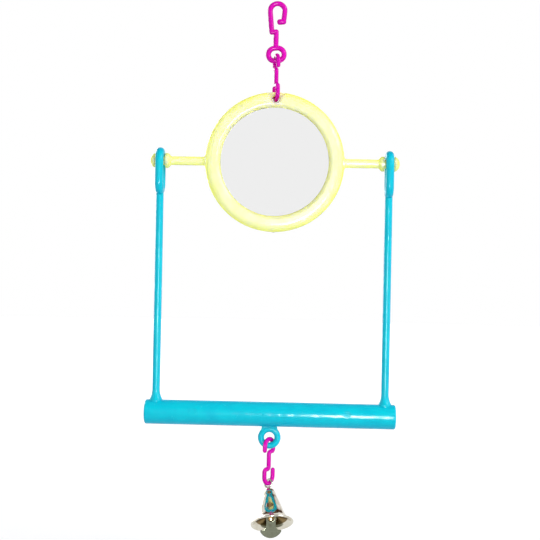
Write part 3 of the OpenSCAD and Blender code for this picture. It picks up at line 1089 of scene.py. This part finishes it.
@dataclass(frozen=True)
class Bell:
    """The stamped shell, its wire and the flat clapper, as surfaces of their own.

    Attributes:
        pivot: The height of the point that it turns about.
        tip: How far it leans out towards the front, in degrees.
        yaw: Its turn about Z, in degrees.
        mouth_d: The diameter across the mouth's lip.
        height: The shell's height.
        wall: The shell's thickness.
        lip_d: The thickness of the rolled lip.
        hole_r: The radius of the crown's hole.
        crown_drop: How far the crown's top is under the pivot.
        eye_drop: How far the wire's lower eye is under the pivot.
        eye_r: The radius of that eye, to the wire's middle.
        wire_d: The wire's thickness.
        clapper_t: The clapper's thickness.
        clapper_gap: The room between the wire and the clapper's hole.
        clapper_hole_d: The diameter of that hole.
        clapper_head_d: The diameter of the clapper's round head.
        clapper_w: The clapper's width at its wings.
        clapper_drop: How far the clapper goes down from the hole's middle.
        clapper_neck_w: The width of its neck.
        clapper_sag: How far its lower edge bows down.
        edge_r: The radius of the clapper's rounded edges.
        edge_rows: Rows of points round each of those edges.
        flat_band: The width of the level strip inside them, which keeps its faces flat.
        crease: The angle from which an edge of the clapper stays sharp.
        arc_points: Points along the clapper's lower edge, and along its head.
        side_points: Points along each side of its neck.
        hole_points: Points round its hole.
        uneven: How far the mouth is out of round, as a share of its radius.
        uneven_phase: Where the two waves round it start, in radians.
        uneven_third: The size of the three waves round it, as a share of the two.
        around: Points round the shell.
        lip_points: Points round its rolled lip.
        lip_clear: How near to the lip's middle the wall goes, as a share of the lip's radius.
        polished: Points of the inner curve, from the lip, as bright as the outside; past them is
            painted shade.
        crown_shares: The outer curve, as shares of the mouth's radius and of the height.
    """

    pivot: float = -227.9479
    tip: float = 35.0
    yaw: float = 12.0
    mouth_d: float = 20.2
    height: float = 17.9
    wall: float = 0.5
    lip_d: float = 0.8
    hole_r: float = 0.65
    crown_drop: float = 2.55
    eye_drop: float = 15.25
    eye_r: float = 1.5
    wire_d: float = 0.9
    clapper_t: float = 0.7
    clapper_gap: float = 0.25
    clapper_hole_d: float = 3.0
    clapper_head_d: float = 5.2
    clapper_w: float = 10.1
    clapper_drop: float = 9.4
    clapper_neck_w: float = 4.6
    clapper_sag: float = 3.0
    edge_r: float = 0.22
    edge_rows: int = 4
    flat_band: float = 0.12
    crease: float = 40.0
    arc_points: int = 41
    side_points: int = 15
    hole_points: int = 36
    uneven: float = 0.004
    uneven_phase: float = 0.7
    uneven_third: float = 0.5
    around: int = 160
    lip_points: int = 22
    lip_clear: float = 1.02
    polished: int = 12
    crown_shares: tuple[tuple[float, float], ...] = (
        (0, 0), (0.1, 0.01), (0.21, 0.045), (0.29, 0.12), (0.34, 0.23), (0.4, 0.32),
        (0.46, 0.42), (0.53, 0.54), (0.6, 0.67), (0.68, 0.785), (0.8, 0.895), (1, 1),
    )

    def hung(self, points: np.ndarray) -> np.ndarray:
        """Puts points drawn about the upright bell's pivot in their place."""
        tipped = turned(points, Axis.X, -self.tip)
        return turned(tipped, Axis.Z, self.yaw) + [0, 0, self.pivot]

    def outer_curve(self, steps: int = 12) -> np.ndarray:
        """Works out the shell's outer curve.

        It is a Catmull-Rom curve through the stations: between two of them each
        coordinate is half of a cubic in the share of the way, whose four weights come
        from the two stations and their neighbours.

        Args:
            steps: Points from one station to the next.

        Returns:
            Radius and height below the crown's top, from the axis to the mouth.
        """
        s = np.array(self.crown_shares)
        s = np.vstack([s[:1], s, s[-1:]])
        u = np.linspace(0, 1, steps, endpoint=False)[None, :, None]
        a, b, c, d = (s[i : len(s) - 3 + i, None, :] for i in range(4))
        curve = 2 * b + (c - a) * u + (2 * a - 5 * b + 4 * c - d) * u**2
        curve = (curve + (3 * b - a - 3 * c + d) * u**3) / 2
        curve = np.vstack([curve.reshape(-1, 2), s[-1:]])
        scale = [(self.mouth_d - self.lip_d) / 2, -(self.height - self.lip_d / 2)]
        return curve * scale

    def shell(self) -> bpy.types.Object:
        """Makes the shell: its closed wall section, with the rolled lip, carried round its axis.

        The section goes down the outer curve, round the lip and back up the same curve
        moved in by the wall. The radius is a hair out of round, as two and three
        waves round the bell that grow towards the mouth. The polish goes on over the lip
        for a few points of the inner curve, and the dull inside starts there; its dark brown
        colour is painted shade and reflection in the bell's hollow.

        Returns:
            The shell in its place, whose dull inside, painted dark for shade, takes its second
            material.
        """
        outer = self.outer_curve()
        along = np.gradient(outer, axis=0)
        along /= np.linalg.norm(along, axis=1)[:, None]
        inner = outer + self.wall * np.stack([along[:, 1], -along[:, 0]], axis=1)
        lip, r = np.array(outer[-1]), self.lip_d / 2
        keep = [
            c[(np.linalg.norm(c - lip, axis=1) > r * self.lip_clear) & (c[:, 0] > self.hole_r)]
            for c in (outer, inner)
        ]
        first, last = (math.atan2(*(c[-1] - lip)[::-1]) for c in keep)
        last -= 2 * math.pi if last > first else 0
        sweep = np.linspace(first, last, self.lip_points)[1:-1]
        roll = lip + r * np.stack([np.cos(sweep), np.sin(sweep)], axis=1)
        crown = np.array([[self.hole_r, 0.0]])
        under = np.array([[self.hole_r, -self.wall]])
        section = np.vstack([crown, keep[0], roll, keep[1][::-1], under])
        turn = np.linspace(0, 2 * math.pi, self.around, endpoint=False)[:, None]
        waves = np.cos(2 * turn + self.uneven_phase) + self.uneven_third * np.cos(3 * turn)
        radius = section[:, 0] * (1 + self.uneven * (section[:, 1] / self.height) ** 2 * waves)
        height = section[:, 1] + 0 * turn - self.crown_drop
        points = np.stack([radius * np.cos(turn), radius * np.sin(turn), height], axis=-1)
        piece = new_piece("bell_skin", [Grid(self.hung(points), wrap_rows=True, wrap_columns=True)])
        # From here the inside takes the finish whose dark colour is painted shade and reflection.
        shaded_dull_from = len(section) - 1 - len(keep[1]) + self.polished
        inside = np.arange(len(section)) >= shaded_dull_from
        finish = np.tile(inside, self.around).astype(np.int32)
        piece.data.polygons.foreach_set("material_index", finish)
        return piece

    def clapper_outline(self) -> tuple[np.ndarray, np.ndarray]:
        """Works out the clapper's outline and its hole, in its own plane.

        The outline is an arc below, a hollow arc up each side of the neck, and the head's
        round top, all about the lower eye's middle.

        Returns:
            The outline's points and the hole's points, both anticlockwise.
        """
        hole_z = -self.eye_r + self.wire_d / 2 + self.clapper_gap - self.clapper_hole_d / 2
        low = hole_z - self.clapper_drop
        wing, half, neck = low + self.clapper_sag, self.clapper_w / 2, self.clapper_neck_w / 2
        arc_r = (half**2 + self.clapper_sag**2) / (2 * self.clapper_sag)
        waist, head = half - neck, self.clapper_head_d / 2
        waist_z = wing + waist + self.clapper_t
        swing = math.asin(half / arc_r)
        below = np.linspace(-swing, swing, self.arc_points)
        arc = np.stack([arc_r * np.sin(below), low + arc_r - arc_r * np.cos(below)], axis=1)
        hollow = np.linspace(-math.pi / 2, -math.pi, self.side_points)
        side = np.stack([half + waist * np.cos(hollow), waist_z + waist * np.sin(hollow)], axis=1)
        lean = math.acos(neck / head)
        over = np.linspace(-lean, math.pi + lean, self.arc_points)
        top = np.stack([head * np.cos(over), hole_z + head * np.sin(over)], axis=1)
        other = side[::-1] * [-1, 1]
        ring = np.linspace(0, 2 * math.pi, self.hole_points, endpoint=False)
        hole = np.stack([np.cos(ring), np.sin(ring)], axis=1) * self.clapper_hole_d / 2
        return np.vstack([arc, side, top, other]), hole + [0, hole_z]

    def clapper(self) -> bpy.types.Object:
        """Makes the clapper: a plate whose edges are rounded all round.

        Each edge is a quarter turn carried along the outline on both faces, which moves
        in by one less the cosine and out by the sine of the angle, times the edge's radius.
        Flat triangles between the outline and the hole close the front and the back.

        Returns:
            The clapper in its place, which hangs plumb from the wire's lower eye.
        """
        r, half = self.edge_r, self.clapper_t / 2
        quarter = np.radians(np.linspace(90, 0, self.edge_rows))
        inset = np.append(r + self.flat_band, r * (1 - np.cos(quarter)))
        depth = np.append(half, half - r * (1 - np.sin(quarter)))
        inset, depth = np.append(inset, inset[::-1]), np.append(depth, -depth[::-1])
        places, faces = np.empty((0, 3)), []
        for loop, inward in zip(self.clapper_outline(), (1, -1)):
            along = np.roll(loop, -1, axis=0) - np.roll(loop, 1, axis=0)
            along /= np.linalg.norm(along, axis=1)[:, None]
            normal = np.stack([-along[:, 1], along[:, 0]], axis=1) * inward
            flat = loop + inset[:, None, None] * normal
            level = np.broadcast_to(depth[:, None], flat.shape[:2])
            band = Grid(np.stack([flat[..., 0], level, flat[..., 1]], axis=-1), wrap_columns=True)
            faces += band.faces(len(places))
            places = np.vstack([places, band.points.reshape(-1, 3)])
        mesh = bpy.data.meshes.new("clapper_plate")
        mesh.from_pydata(places.tolist(), [], faces)
        built = bmesh.new()
        built.from_mesh(mesh)
        rims = [edge for edge in built.edges if edge.is_boundary]
        for side in (1, -1):
            rim = [edge for edge in rims if side * edge.verts[0].co.y > 0]
            bmesh.ops.triangle_fill(built, edges=rim, use_beauty=True)
        bmesh.ops.recalc_face_normals(built, faces=built.faces)
        built.to_mesh(mesh)
        built.free()
        lean = math.radians(self.tip)
        drop = -self.eye_drop * np.array([0, math.sin(lean), math.cos(lean)])
        hung = turned(places + drop, Axis.Z, self.yaw) + [0, 0, self.pivot]
        mesh.vertices.foreach_set("co", (hung * MM).ravel())
        mesh.polygons.foreach_set("use_smooth", np.ones(len(mesh.polygons), bool))
        mesh.set_sharp_from_angle(angle=math.radians(self.crease))
        return linked("clapper_plate", mesh)

    def build(
        self, nodes: dict, shell: Material, inside: Material, plate: Material, wire: Material
    ) -> None:
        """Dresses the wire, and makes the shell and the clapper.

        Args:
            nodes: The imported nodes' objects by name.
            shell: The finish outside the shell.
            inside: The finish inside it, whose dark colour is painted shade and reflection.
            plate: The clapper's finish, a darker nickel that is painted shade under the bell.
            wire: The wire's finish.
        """
        dress(nodes, ["bell_wire"], wire)
        skin = place(self.shell(), shell, Body.BELL, Slot.NICKEL)
        skin.data.materials.append(inside)
        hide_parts("bell_shell")
        tongue = place(self.clapper(), plate, Body.CLAPPER, Slot.NICKEL)
        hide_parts("clapper")


# Studio


@dataclass(frozen=True)
class AreaLamp:
    """A soft lamp that looks at a point and isn't seen itself.

    Attributes:
        name: The lamp's name.
        place: Where it stands, in millimetres.
        aim: What it looks at.
        size: Its width and height.
        level: What it adds to the brightness of a white surface that faces it at aim.
        lights: It lights the colours.
        shines: It shows in the highlights.
    """

    name: str
    place: tuple[float, float, float]
    aim: tuple[float, float, float]
    size: tuple[float, float]
    level: float
    lights: bool = True
    shines: bool = True

    def build(self) -> None:
        """Makes the lamp. Its power is pi squared times the level and the distance squared."""
        light = bpy.data.lights.new(self.name, "AREA")
        there, at = np.array(self.place) * MM, np.array(self.aim) * MM
        light.shape = "RECTANGLE"
        light.size, light.size_y = self.size[0] * MM, self.size[1] * MM
        light.energy = self.level * math.pi**2 * float(np.sum((at - there) ** 2))
        lamp = bpy.data.objects.new(self.name, light)
        lamp.location = there
        lamp.rotation_mode = "QUATERNION"
        lamp.rotation_quaternion = Vector(at - there).to_track_quat("-Z", "Y")
        lamp.visible_camera = False
        lamp.visible_diffuse = self.lights
        lamp.visible_glossy = self.shines
        bpy.context.scene.collection.objects.link(lamp)


@dataclass(frozen=True)
class Card:
    """A part of the studio that only reflections show, between bounds of the view direction.

    Attributes:
        colour: Its colour, as sRGB hex.
        x: The bounds of the view direction's X.
        z: The bounds of its Z. A bound past 1 or -1 leaves that side open.
        soft: How far its edges fade to each side of the bounds.
    """

    colour: str
    x: tuple[float, float]
    z: tuple[float, float]
    soft: float


@dataclass(frozen=True)
class Studio:
    """Plain pale floor, white surroundings, soft lamps and the camera's background.

    Attributes:
        floor_z: The floor's height, in millimetres.
        floor_rings: The radii of the floor's rings of points.
        floor_sides: Points round each ring.
        glow: What the camera sees added to the floor, near the middle and far out.
        glow_span: Where that changes, in metres from the middle.
        daylight: The surroundings' strength where they light the colours.
        sky: Their colour there.
        white: What the camera sees of them, and what a reflection sees where no card is.
        paper: The floor's colour where it lights the pieces.
        seen: Its colour for the camera, before the glow.
        mirrored: Its colour in reflections.
        lamps: The lamps.
        cards: The dark and white parts of the room that reflections show, the last on top.
    """

    floor_z: float = -276.0
    floor_rings: tuple[float, ...] = (0.05, 750.0, 1500.0, 2500.0)
    floor_sides: int = 96
    glow: tuple[float, float] = (0.4, 0.7)
    glow_span: tuple[float, float] = (0.35, 1.0)
    daylight: float = 0.77
    sky: str = "#fbfcff"
    white: str = "#ffffff"
    paper: str = "#d4d8de"
    seen: str = "#c8c8c8"
    mirrored: str = "#f6f8f6"
    lamps: tuple[AreaLamp, ...] = (
        AreaLamp("key_lamp", (2600, -1600, 1500), (0, 0, -120), (1400, 1400), 0.56),
        AreaLamp("front_lamp", (84, -515, -140), (0, 0, -150), (160, 160), 0.28, shines=False),
        AreaLamp("flash_lamp", (68, -515, -180), (0, 0, -180), (75, 180), 1.3, lights=False),
        AreaLamp("back_lamp", (-1600, 2600, 400), (0, 0, -120), (1600, 1600), 0.4),
    )
    cards: tuple[Card, ...] = (
        Card("#4c3020", (-0.55, 0.55), (0.3, 2.0), 0.08),
        Card("#97805c", (-0.34, 0.16), (0.78, 2.0), 0.16),
        Card("#ffffff", (-0.36, 0.36), (-2.0, 0.66), 0.04),
    )

    @staticmethod
    def mask(tree: Tree, toward: bpy.types.Node, card: Card) -> Socket:
        """Adds the mask of one card.

        The mask is the product of four smooth steps of the view direction, two up and two
        down, one at each bound of the card.

        Args:
            tree: The surroundings' nodes.
            toward: The node that gives the view direction's X, Y and Z.
            card: The card.

        Returns:
            A value that is one inside the card's bounds and nothing outside them.
        """
        steps = [
            add_node(
                tree,
                "ShaderNodeMapRange",
                {
                    "interpolation_type": "SMOOTHSTEP",
                    "From Min": bound - card.soft,
                    "From Max": bound + card.soft,
                    "To Min": before,
                    "To Max": 1 - before,
                },
                {"Value": toward.outputs[name]},
            ).outputs[0]
            for name, bounds in (("X", card.x), ("Z", card.z))
            for bound, before in zip(bounds, (0.0, 1.0))
        ]
        inside = steps[0]
        for step in steps[1:]:
            times = {"operation": "MULTIPLY"}
            inside = add_node(tree, "ShaderNodeMath", times, {0: inside, 1: step}).outputs[0]
        return inside

    def world(self) -> None:
        """Makes the surroundings: daylight for shading, white for the camera, cards for gloss."""
        world = bpy.data.worlds.new("studio_surroundings")
        bpy.context.scene.world = world
        tree = new_tree(world)
        path = add_node(tree, "ShaderNodeLightPath").outputs
        view = add_node(tree, "ShaderNodeTexCoord").outputs["Generated"]
        toward = add_node(tree, "ShaderNodeSeparateXYZ", None, {0: view})
        under = {}
        for card in self.cards:
            tone = add_node(
                tree,
                "ShaderNodeMix",
                {"data_type": "RGBA", 6: linear(self.white), 7: linear(card.colour)},
                {0: self.mask(tree, toward, card), **under},
            )
            under = {6: tone.outputs[2]}
        day = add_node(
            tree, "ShaderNodeBackground", {"Color": linear(self.sky), "Strength": self.daylight}
        )
        plain = add_node(
            tree, "ShaderNodeBackground", {"Color": linear(self.white), "Strength": 1.0}
        )
        gloss = add_node(
            tree, "ShaderNodeBackground", {"Strength": 1.0}, {"Color": tone.outputs[2]}
        )
        shiny = add_node(
            tree,
            "ShaderNodeMixShader",
            None,
            {0: path["Is Glossy Ray"], 1: day.outputs[0], 2: gloss.outputs[0]},
        )
        seen = add_node(
            tree,
            "ShaderNodeMath",
            {"operation": "MAXIMUM"},
            {0: path["Is Camera Ray"], 1: path["Is Transmission Ray"]},
        )
        both = add_node(
            tree,
            "ShaderNodeMixShader",
            None,
            {0: seen.outputs[0], 1: shiny.outputs[0], 2: plain.outputs[0]},
        )
        add_node(tree, "ShaderNodeOutputWorld", None, {"Surface": both.outputs[0]})

    def floor(self) -> None:
        """Makes the floor: a pale disc that the camera sees as white where no shadow falls.

        Its rings are circles, as each radius times the cosine and sine of the turn.
        """
        turn = np.linspace(0, 2 * math.pi, self.floor_sides, endpoint=False)
        rows = np.array(self.floor_rings)[:, None]
        height = self.floor_z + 0 * rows * turn
        points = np.stack([rows * np.cos(turn), rows * np.sin(turn), height], axis=-1)
        mesh = bpy.data.meshes.new("floor")
        faces = Grid(points, wrap_columns=True).faces(0)
        mesh.from_pydata((points.reshape(-1, 3) * MM).tolist(), [], faces)
        floor = linked("floor", mesh)
        mesh.materials.append(self.floor_paper())

    def floor_paper(self) -> Material:
        """Makes matt paper, white for the camera where no shadow falls and clear from below.

        Returns:
            The floor's material.
        """
        material, tree = new_material("matt_white_paper")
        path = add_node(tree, "ShaderNodeLightPath").outputs
        paper = add_node(tree, "ShaderNodeBsdfDiffuse", {"Color": linear(self.paper)})
        lit = add_node(tree, "ShaderNodeBsdfDiffuse", {"Color": linear(self.seen)})
        where = add_node(tree, "ShaderNodeTexCoord").outputs["Object"]
        away = add_node(tree, "ShaderNodeVectorMath", {"operation": "LENGTH"}, {0: where})
        level = add_node(
            tree,
            "ShaderNodeMapRange",
            {
                "From Min": self.glow_span[0],
                "From Max": self.glow_span[1],
                "To Min": self.glow[0],
                "To Max": self.glow[1],
            },
            {"Value": away.outputs["Value"]},
        )
        glow = add_node(
            tree,
            "ShaderNodeEmission",
            {"Color": linear(self.white)},
            {"Strength": level.outputs[0]},
        )
        seen = add_node(tree, "ShaderNodeAddShader", None, {0: lit.outputs[0], 1: glow.outputs[0]})
        white = add_node(
            tree, "ShaderNodeEmission", {"Color": linear(self.mirrored), "Strength": 1.0}
        )
        shiny = add_node(
            tree,
            "ShaderNodeMixShader",
            None,
            {0: path["Is Glossy Ray"], 1: paper.outputs[0], 2: white.outputs[0]},
        )
        both = add_node(
            tree,
            "ShaderNodeMixShader",
            None,
            {0: path["Is Camera Ray"], 1: shiny.outputs[0], 2: seen.outputs[0]},
        )
        under = add_node(tree, "ShaderNodeNewGeometry").outputs["Backfacing"]
        clear = add_node(tree, "ShaderNodeBsdfTransparent")
        side = add_node(
            tree, "ShaderNodeMixShader", None, {0: under, 1: both.outputs[0], 2: clear.outputs[0]}
        )
        add_node(tree, "ShaderNodeOutputMaterial", None, {"Surface": side.outputs[0]})
        return material

    def build(self) -> None:
        """Makes the surroundings, the floor and the lamps."""
        self.world()
        self.floor()
        for lamp in self.lamps:
            lamp.build()
        LOG.info("studio: floor, surroundings and %d lamps", len(self.lamps))


@dataclass(frozen=True)
class Camera:
    """The camera at the photograph's viewing angle, level and close to the front.

    Attributes:
        place: Where it stands, in millimetres.
        yaw: Its turn to the left, in degrees.
        pitch: Its tilt upwards.
        roll: Its turn about its own line of sight.
        lens: Its focal length, in millimetres.
        sensor: The width of its picture, in millimetres.
        clip: The nearest and the farthest that it sees, in metres.
    """

    place: tuple[float, float, float] = (13.0, -500.0, -124.2)
    yaw: float = 1.63
    pitch: float = -0.09
    roll: float = 1.13
    lens: float = 69.1
    sensor: float = 36.0
    clip: tuple[float, float] = (0.05, 20.0)

    def build(self) -> None:
        """Makes the camera. It looks along +Y, turned by yaw about Z, then pitch, then roll."""
        data = bpy.data.cameras.new("camera")
        data.lens, data.sensor_width = self.lens, self.sensor
        data.clip_start, data.clip_end = self.clip
        camera = bpy.data.objects.new("camera", data)
        axes = np.array([[1.0, 0, 0], [0, 0, 1.0], [0, -1.0, 0]])
        axes = turned(axes, Axis.Y, -self.roll)
        axes = turned(turned(axes, Axis.X, self.pitch), Axis.Z, self.yaw)
        matrix = Matrix.Identity(4)
        for column, axis in enumerate(axes):
            for row in range(3):
                matrix[row][column] = axis[row]
        matrix.translation = Vector(self.place) * MM
        camera.matrix_world = matrix
        bpy.context.scene.collection.objects.link(camera)
        bpy.context.scene.camera = camera


def main() -> None:
    """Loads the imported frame, dresses it sub-assembly by sub-assembly, and sets the studio."""
    logging.basicConfig(level=logging.INFO, format="%(message)s")
    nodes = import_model()["nodes"]
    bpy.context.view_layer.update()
    # Each plastic's third colour is its edge colour, partly painted shade at the silhouettes.
    magenta = MouldedPolypropylene(
        "magenta_polypropylene", "#d203ab", "#c6029c", "#a80a84", gloss=0.2, shine=0.12,
        wave_depth=0.03,
    ).build()
    yellow = MouldedPolypropylene(
        "pale_yellow_polypropylene", "#eff2bc", "#edefac", "#ffff20", gloss=0.24, shine=0.4,
        glow=0.9, glow_depth=7.0, glow_tint=(1.0, 1.0, 0.2), edge_shade_blend=0.55,
    ).build()
    turquoise = MouldedPolypropylene(
        "turquoise_polypropylene", "#00bcca", "#00b1c5", "#009cc4", gloss=0.16, shine=0.17,
        wave=4.5, wave_depth=0.2,
    ).build()
    mirror = SilveredSheet().build()
    bell = Bell()
    upright = {"origin": (0, 0, bell.pivot), "turn": (0, 0, bell.yaw)}
    tipped = {"origin": (0, 0, bell.pivot), "turn": (-bell.tip, 0, bell.yaw)}
    shell = NickelPlate("nickel_plated_shell", **tipped).build()
    # The inside's dark brown colours are painted shade and reflection in the bell's hollow.
    inside = NickelPlate(
        "shaded_shell_inside", "#87724f", "#463426", polish=0.12, worn=0.3, **tipped
    ).build()
    # The clapper's darker nickel colours are painted shade under the bell.
    plate = NickelPlate(
        "shaded_nickel_clapper", "#7c7f6e", "#605b46", polish=0.14, worn=0.28, ring_depth=0.0,
        **upright,
    ).build()
    wire = NickelPlate(
        "nickel_plated_wire", "#cfcbc0", "#a09070", polish=0.16, worn=0.3, ring=1.885, **tipped
    ).build()
    HangerHook().build(nodes, magenta)
    OpenLink("upper_link", Body.TOP_LINK, top=-25.0479, yaw=105.0).build(nodes, magenta)
    MirrorUnit().build(nodes, yellow, mirror)
    PerchFrame().build(nodes, turquoise)
    OpenLink("bell_link", Body.LOWER_LINK, top=-210.0479, yaw=57.0).build(nodes, magenta)
    bell.build(nodes, shell, inside, plate, wire)
    Camera().build()
    Studio().build()
    bpy.context.scene.view_settings.view_transform = "Standard"


if __name__ == "__main__":
    main()
